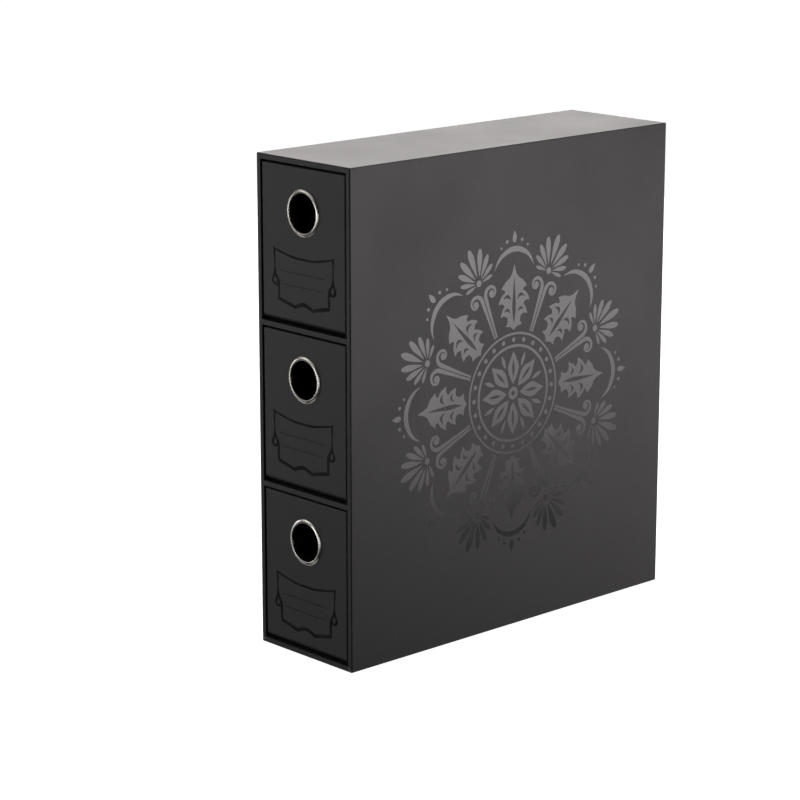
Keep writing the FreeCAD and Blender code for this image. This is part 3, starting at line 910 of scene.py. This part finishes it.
# %% [markdown]
# ## Trays
#
# Behind each face is a tray, a box without a lid. Its covering goes up the outside,
# over the rim and a few millimetres down the inside, and the lining covers the cut
# edge. Both start as blocks. The covering's top is inset by the thickness of the
# wall and pushed down. The lining is a block without a top whose faces look
# inwards, so that its thickness goes behind them. The covering's front is the side
# that is glued to the face. An attribute marks it for painted shade: there the tray
# is painted dull black, for the shade in the gap under the face.

# %% Tray coverings
RIM = 2.5 * MM
TURN_DOWN = 3.0 * MM
PAST_THE_PAPER = 1.2 * MM
GAP_FRONT_LEAN = 0.3

tray_low, tray_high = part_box("bottom_drawer_tray_wrap")
tray = block("bottom_tray_covering", tray_low, tray_high)
pick(tray, "FACE", facing((0, 0, 1)))
bpy.ops.mesh.inset(thickness=RIM)
extrude(z=-TURN_DOWN)
bpy.ops.mesh.delete(type="FACE")
make_paper(tray, EDGE, (0, 0, -1))
# The tray's front faces, which show only through the gap under the face, are marked for the painted shade of
# that gap.
painted_gap_shade = tray.data.attributes.new("painted_gap_shade", "FLOAT", "FACE")
for side in tray.data.polygons:
    in_painted_gap = side.normal.y < -GAP_FRONT_LEAN and side.center.y < tray_low.y + RIM
    painted_gap_shade.data[side.index].value = 1.0 if in_painted_gap else 0.0
bore(tray, tray_low.y - MM, tray_low.y + PAST_THE_PAPER)
smooth(tray)
fill_bays(tray, "tray_covering", tray_paper, "covering_paper", "tray_wrap")

# %% Tray linings
LINING_DROP = 0.05 * MM

lining_low = (tray_low.x + RIM, tray_low.y + RIM, tray_low.z + RIM)
lining_high = (tray_high.x - RIM, tray_high.y - RIM, tray_high.z - TURN_DOWN - LINING_DROP)
lining = block("bottom_tray_lining", lining_low, lining_high)
open_side(lining, (0, 0, 1))
make_paper(lining, EDGE, (0, 0, -1), inward=True)
bore(lining, lining_low[1] - MM, lining_low[1] + PAST_THE_PAPER)
smooth(lining)
fill_bays(lining, "tray_lining", bay_lining_paper, "lining_paper", "lining")

# %% [markdown]
# ## Eyelets
#
# An eyelet is a short tube of thin sheet with a domed flange in front. It is pushed
# through face and tray, and its end is rolled over a washer inside. It is round, so
# one section is enough: the section is a closed ring of points, laid out from the
# outer foot of the dome over the crest, through the barrel, round the rolled lip
# and back along the other side of the sheet, and then spun about the hole's middle.
# A point is its distance from that middle and its depth behind the drawer's face.

# %% Eyelets
SECTION = [
    (16.50, 0.00), (16.46, -0.14), (16.26, -0.32), (15.92, -0.52), (15.52, -0.74), (15.12, -0.93),
    (14.72, -1.05), (14.32, -1.09), (13.96, -0.98), (13.70, -0.72), (13.55, -0.36), (13.50, 0.05),
    (13.50, 3.00), (13.50, 5.60), (13.58, 6.05), (13.82, 6.38), (14.20, 6.54), (14.68, 6.53),
    (15.08, 6.36), (15.28, 6.08), (14.96, 6.04), (14.62, 6.14), (14.28, 6.12), (14.02, 5.92),
    (13.90, 5.55), (13.90, 3.00), (13.90, 0.10), (13.95, -0.22), (14.10, -0.50), (14.34, -0.66),
    (14.70, -0.64), (15.10, -0.52), (15.60, -0.26), (16.00, 0.00),
]
clear_selection()
bpy.ops.mesh.primitive_circle_add(vertices=len(SECTION), radius=MM, fill_type="NOTHING")
eyelet = settle("bottom_eyelet")
for corner, (radius, depth) in zip(eyelet.data.vertices, SECTION):
    corner.co = (radius * MM, face_low.y + depth * MM, pull.z)
pick(eyelet, "VERT")
bpy.ops.mesh.spin(steps=96, angle=math.radians(360.0), center=(0.0, 0.0, pull.z), axis=(0.0, 1.0, 0.0))
turn_faces(eyelet, (0, -1, 0))
take(eyelet)
bpy.ops.object.shade_smooth()
fill_bays(eyelet, "eyelet", bright_nickel, "nickel_eyelet", "eyelet")
print("the dome stands", round((face_low.y - pull_low.y) / MM, 2), "mm proud")

# %% [markdown]
# ## Flat printed shapes
#
# A printed shape has no thickness to speak of, but it has a clean outline, and the
# outline is what is drawn: a closed curve of points in millimetres. The line flows
# through them, and breaks only at those marked sharp. More closed curves inside it
# cut holes. The curve is filled, given about a tenth of a millimetre, made into a
# mesh, and only then stood up against the side or the front of the box. Half of its
# thickness sinks into the paper, so it stands proud by the other half.

# %% Helpers for printed shapes
SHARP = "sharp"
PRINT = 0.10


def flipped(outline):
    """The mirror image of an outline."""
    return [(-x, y, *sharp) for x, y, *sharp in reversed(outline)]


def mirrored(half):
    """Closes an outline whose second half is the mirror image of the first."""
    return half + [knot for knot in flipped(half) if abs(knot[0]) > 0.001]


def printed(name, outlines, thickness=PRINT):
    """A flat plate in x and y, in millimetres, with smooth or sharp corners and holes."""
    clear_selection()
    drawing = bpy.data.curves.new(name, "CURVE")
    drawing.dimensions = "2D"
    drawing.fill_mode = "BOTH"
    drawing.extrude = thickness * MM / 2
    drawing.resolution_u = 8
    for outline in outlines:
        line = drawing.splines.new("BEZIER")
        line.bezier_points.add(len(outline) - 1)
        line.use_cyclic_u = True
        for knot, (x, y, *sharp) in zip(line.bezier_points, outline):
            knot.co = (x * MM, y * MM, 0.0)
            knot.handle_left_type = knot.handle_right_type = "VECTOR" if sharp else "AUTO"
    plate = bpy.data.objects.new(name, drawing)
    bpy.context.scene.collection.objects.link(plate)
    take(plate)
    bpy.ops.object.convert(target="MESH")
    plate = bpy.context.object
    plate.data.name = name
    turn_faces(plate, (0, 0, 1))
    return plate


def round_outline(radius, knots=12, x=0.0, y=0.0):
    """A circle as a soft outline."""
    turns = [2 * math.pi * k / knots for k in range(knots)]
    return [(x + radius * math.cos(t), y + radius * math.sin(t)) for t in turns]


def join_all(pieces, name):
    """Joins pieces into one."""
    clear_selection()
    for piece in pieces:
        piece.select_set(True)
    bpy.context.view_layer.objects.active = pieces[0]
    bpy.ops.object.join()
    return settle(name)


def stand(piece, turn, place):
    """Turns a flat piece up, moves it to its place and settles it there."""
    take(piece)
    piece.rotation_euler = turn
    piece.location = place
    settle(piece.name)


print("printing helpers are ready")

# %% [markdown]
# ## Label frames
#
# Below each eyelet a frame for a label is printed in the gloss varnish: a hanging
# scroll with a sagging top line, a drop at each side, a stepped foot and a notch in
# the middle of the lower line. Inside are two hairlines to write on. One outline
# gives the outer edge, one the inner edge, and two more cut the eyes of the drops.
# A sheet is never laid in quite the same place under the screen, so each label is
# a little off the middle in its own way.

# %% Outlines of the label frame
outer_edge = mirrored([
    (0.0, -30.6), (10.0, -30.3), (20.0, -28.7), (29.2, -26.9, SHARP), (31.0, -25.7, SHARP),
    (31.1, -28.0, SHARP), (30.9, -43.2), (32.0, -46.2), (33.1, -49.2), (32.0, -51.7), (29.4, -52.7),
    (27.0, -52.4, SHARP), (26.8, -60.6, SHARP), (26.5, -62.5, SHARP), (17.0, -64.6),
    (8.8, -66.4, SHARP), (4.2, -64.6), (0.0, -63.6),
])
inner_edge = mirrored([
    (0.0, -32.3), (10.0, -32.0), (20.0, -30.3), (29.1, -28.3, SHARP), (28.9, -42.0), (27.4, -45.4),
    (25.2, -48.6), (24.7, -51.5), (24.8, -60.2, SHARP), (16.0, -62.2), (9.0, -63.8, SHARP),
    (4.8, -62.0), (0.0, -60.9),
])
right_eye = [(29.7, -45.9, SHARP), (30.9, -49.0), (29.4, -51.0), (28.0, -49.2)]
print("the frame's outer edge has", len(outer_edge), "points and its inner edge", len(inner_edge))

# %% Label frames
THIN_PRINT = 0.06
LINE_WIDTH = 0.35
PRINT_SHIFT = {"bottom": (-0.5, -0.9), "middle": (-2.0, 0.1), "top": (0.0, -0.5)}


def ruled(left, right, top):
    """A ruled line as an outline with four sharp corners."""
    low = top - LINE_WIDTH
    return [(left, top, SHARP), (right, top, SHARP), (right, low, SHARP), (left, low, SHARP)]


for step, bay in enumerate(BAYS):
    label = printed(f"{bay}_label_frame", [outer_edge, inner_edge, right_eye, flipped(right_eye)])
    lines = printed("lines", [ruled(-24.6, 22.6, -41.6), ruled(-22.8, 20.8, -50.6)], THIN_PRINT)
    label = join_all([label, lines], f"{bay}_label_frame")
    across, up = PRINT_SHIFT[bay]
    stand(label, (UPRIGHT, 0.0, 0.0), (across * MM, face_low.y, pull.z + step * PITCH + up * MM))
    dress(label, label_varnish, f"{bay}_drawer", "covering_paper")

# %% [markdown]
# ## The ornament on the side
#
# The right side carries one large ornament in gloss varnish. This one is a round
# medallion of eight parts, of the kind that book covers and plaster ceilings have
# carried for centuries: a flower in a beaded ring, lobed leaves, curling stems
# between them and a border of palmettes and crescents. One part of each kind is
# drawn, then copied and turned about the middle. The stems are not drawn but grown:
# one edge of a small plane is extruded again and again, each time turned and shrunk
# about the eye of the curl.

# %% Helpers for the medallion
TIMES = 8
BETWEEN = 180.0 / TIMES


def ring_of(piece, count=TIMES, start=0.0):
    """Copies a piece around the middle until there are that many, evenly turned."""
    pieces = []
    for k in range(count):
        take(piece)
        bpy.ops.object.duplicate(linked=False)
        turn = math.radians(start + 360.0 * k / count)
        bpy.ops.transform.rotate(value=turn, orient_axis="Z", center_override=(0.0, 0.0, 0.0))
        pieces.append(settle(piece.name + "_copy"))
    bpy.data.objects.remove(piece)
    return pieces


def leaning(outline, degrees, foot):
    """An outline turned about its foot."""
    turn = math.radians(degrees)
    turned = []
    for x, y, *sharp in outline:
        dx, dy = x - foot[0], y - foot[1]
        turned.append((foot[0] + dx * math.cos(turn) - dy * math.sin(turn),
                       foot[1] + dx * math.sin(turn) + dy * math.cos(turn), *sharp))
    return turned


print("the medallion has", TIMES, "parts,", 2 * BETWEEN, "degrees apart")

# %% Flower and rings
petal = mirrored([(0.0, 6.4, SHARP), (3.4, 12.0), (5.4, 19.0), (2.6, 25.6), (0.0, 30.6, SHARP)])
petal_slot = mirrored([(0.0, 11.5, SHARP), (1.2, 18.0), (0.0, 25.0, SHARP)])
sepal = mirrored([(0.0, 19.5, SHARP), (1.5, 25.0), (0.0, 31.4, SHARP)])

parts = [printed("middle", [round_outline(4.6), round_outline(1.8)])]
parts += ring_of(printed("petal", [petal, petal_slot]))
parts += ring_of(printed("sepal", [sepal]), start=BETWEEN)
parts.append(printed("inner_ring", [round_outline(35.2, 24), round_outline(33.2, 24)]))
parts += ring_of(printed("bead", [round_outline(1.7, 8, 0.0, 38.7)]), 24)
parts.append(printed("outer_ring", [round_outline(43.8, 24), round_outline(42.2, 24)]))
print(len(parts), "parts up to the outer ring")

# %% Leaves
leaf = mirrored([
    (0.0, 45.6, SHARP), (3.2, 48.0), (8.0, 48.8, SHARP), (6.2, 52.2), (6.6, 55.2, SHARP),
    (9.4, 56.6), (13.4, 56.0, SHARP), (11.4, 61.0), (9.2, 63.8, SHARP), (11.6, 65.6),
    (15.6, 65.4, SHARP), (12.6, 70.8), (8.8, 73.6, SHARP), (10.2, 75.4), (12.8, 76.0, SHARP),
    (8.6, 80.8), (3.6, 84.2), (0.0, 93.0, SHARP),
])
leaf_slot = mirrored([(0.0, 50.5, SHARP), (1.6, 60.0), (1.1, 72.0), (0.0, 84.5, SHARP)])
low_vein = [(3.2, 57.6, SHARP), (6.6, 59.8), (10.0, 59.4, SHARP), (6.2, 61.8)]
high_vein = [(2.8, 66.8, SHARP), (6.4, 69.2), (11.2, 68.6, SHARP), (6.0, 71.6)]
veins = [low_vein, high_vein, flipped(low_vein), flipped(high_vein)]
parts += ring_of(printed("leaf", [leaf, leaf_slot] + veins))
print(len(parts), "parts up to the leaves")

# %% Curling stems
STEM_WIDTH = 1.5 * MM
STEM_FOOT = 46.6 * MM
STEM_BESIDE = 0.35 * MM
STEM_SWELL = 1.08
EYE_BESIDE = 8.4 * MM
EYE_UP = 78.0 * MM
CURL_TURN = 13.0
CURL_SHRINK = 0.962
BUD_PRINT = 1.1 * PRINT


def curl(name, side):
    """A stem that swells as it rises from the ring, and tapers as it winds up round its eye."""
    near_x = side * STEM_BESIDE
    stem = flat_sheet(name, STEM_WIDTH, 2.0 * MM, (near_x + side * STEM_WIDTH / 2, STEM_FOOT, 0.0))
    eye = (side * EYE_BESIDE, EYE_UP, 0.0)
    turn = math.radians(side * CURL_TURN)
    pick(stem, "EDGE", lambda mesh, edge: all(mesh.vertices[i].co.y > STEM_FOOT for i in edge.vertices))
    for step in range(10):
        extrude(y=3.0 * MM)
        widen(STEM_SWELL, near_x)
    for step in range(38):
        extrude()
        bpy.ops.transform.rotate(value=turn, orient_axis="Z", center_override=eye)
        bpy.ops.transform.resize(value=(CURL_SHRINK, CURL_SHRINK, 1.0), center_override=eye)
    clear_selection()
    tip = [stem.data.vertices[i].co for i in stem.data.polygons[-1].vertices]
    print("the stem ends", [round(v / MM, 1) for v in sum(tip, Vector()) / len(tip)])
    apply_modifier(stem, "SOLIDIFY", thickness=PRINT * MM, offset=0.0)
    bud = printed(name + "_bud", [round_outline(2.2, 8, eye[0] / MM, eye[1] / MM)], BUD_PRINT)
    return [stem, bud]


for side in (1.0, -1.0):
    for piece in curl("stem", side):
        parts += ring_of(piece, start=BETWEEN)
print(len(parts), "parts with the stems")

# %% Palmettes
SIDE_PRINT = 0.9 * PRINT
foot = (0.0, 90.0)
blade = mirrored([(0.0, 95.0, SHARP), (1.3, 101.0), (2.5, 108.5), (2.2, 113.5), (0.0, 117.0)])

parts += ring_of(printed("middle_blade", [blade]), start=BETWEEN)
for degrees, size in ((21.0, 0.92), (42.0, 0.80), (64.0, 0.66), (88.0, 0.50)):
    small = [(x * size + 0.05 * size * (y - foot[1]), foot[1] + (y - foot[1]) * size, *sharp)
             for x, y, *sharp in blade]
    fallen = leaning(small, -degrees, foot)
    for outline in (fallen, flipped(fallen)):
        parts += ring_of(printed("side_blade", [outline], SIDE_PRINT), start=BETWEEN)
parts += ring_of(printed("palmette_foot", [round_outline(2.4, 8, 0.0, 90.4)]), start=BETWEEN)
print(len(parts), "parts with the palmettes")

# %% Garlands
garland = mirrored([(0.0, 101.6), (8.0, 100.0), (14.6, 96.0), (19.6, 89.6, SHARP),
                    (16.4, 97.4), (9.0, 103.4), (0.0, 105.6)])
drop = mirrored([(0.0, 108.2), (2.0, 110.6), (0.0, 117.0, SHARP)])
parts += ring_of(printed("garland", [garland]))
parts += ring_of(printed("drop", [drop]))
for x, y, radius in ((7.4, 109.4, 1.3), (-7.4, 109.4, 1.3), (13.0, 105.4, 1.0), (-13.0, 105.4, 1.0)):
    parts += ring_of(printed("outer_bead", [round_outline(radius, 8, x, y)]))
print(len(parts), "parts in all")

# %% The whole print
MEDALLION_MIDDLE = (RIGHT, -1.0 * MM, 172.0 * MM)

ornament = join_all(parts, "side_ornament")
stand(ornament, (UPRIGHT, 0.0, UPRIGHT), MEDALLION_MIDDLE)
dress(ornament, ornament_varnish, "case", "covering_paper")

# %% [markdown]
# ## Mitred corners at the foot
#
# Where the covering's fold and the base paper meet at the front, each is cut at an
# angle, and a hairline of the undyed core shows between them. It is a thin bar,
# laid along the cut so that it stands a hundredth of a millimetre proud of the
# paper, with its edges rounded.

# %% Mitre hairlines
HAIR_WIDTH = 0.44 * MM
HAIR_DEPTH = 0.20 * MM
HAIR_PROUD = 0.01 * MM
HAIR_ROUND = 0.04 * MM
TOP_END = (RIGHT - LIP - 0.10 * MM, FLOOR_OF_BAY - 0.30 * MM)
LOW_END = (RIGHT - 0.85 * MM, 0.70 * MM)


def hairline(name, side):
    """A thin bar along the mitre of one corner."""
    top_end = Vector((side * TOP_END[0], 0.0, TOP_END[1]))
    low_end = Vector((side * LOW_END[0], 0.0, LOW_END[1]))
    along = low_end - top_end
    middle = (top_end + low_end) / 2
    middle.y = FRONT + HAIR_DEPTH / 2 - HAIR_PROUD
    half = Vector((HAIR_WIDTH, HAIR_DEPTH, along.length)) / 2
    bar = block(name, middle - half, middle + half)
    pick(bar, "EDGE")
    bpy.ops.mesh.bevel(offset=HAIR_ROUND, segments=2)
    clear_selection()
    lean_over = Matrix.Rotation(math.atan2(along.x, along.z), 4, "Y")
    bar.data.transform(Matrix.Translation(middle) @ lean_over @ Matrix.Translation(-middle))
    return bar


for side, name in ((-1.0, "left_mitre_hairline"), (1.0, "right_mitre_hairline")):
    bar = hairline(name, side)
    smooth(bar)
    dress(bar, cut_paper_core, "case", "covering_paper")

# %% [markdown]
# ## Boards, bay linings and washers
#
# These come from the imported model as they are: flat boards, flat paper and stamped
# rings. Their shapes are right, so they only get their finishes.

# %% Finishes for the model's own pieces
finish_of = {
    "_board": pressed_greyboard,
    "_side": pressed_greyboard,
    "_bay_lining": bay_lining_paper,
    "_washer": washer_steel,
}
for ending, finish in finish_of.items():
    own = [node for name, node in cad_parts.items() if name.endswith(ending)]
    for node in own:
        node.data.materials.clear()
        node.data.materials.append(finish)
    print(len(own), "pieces of the model get", finish.name)

# %% Letting go of the selection
clear_selection()
bpy.context.view_layer.update()
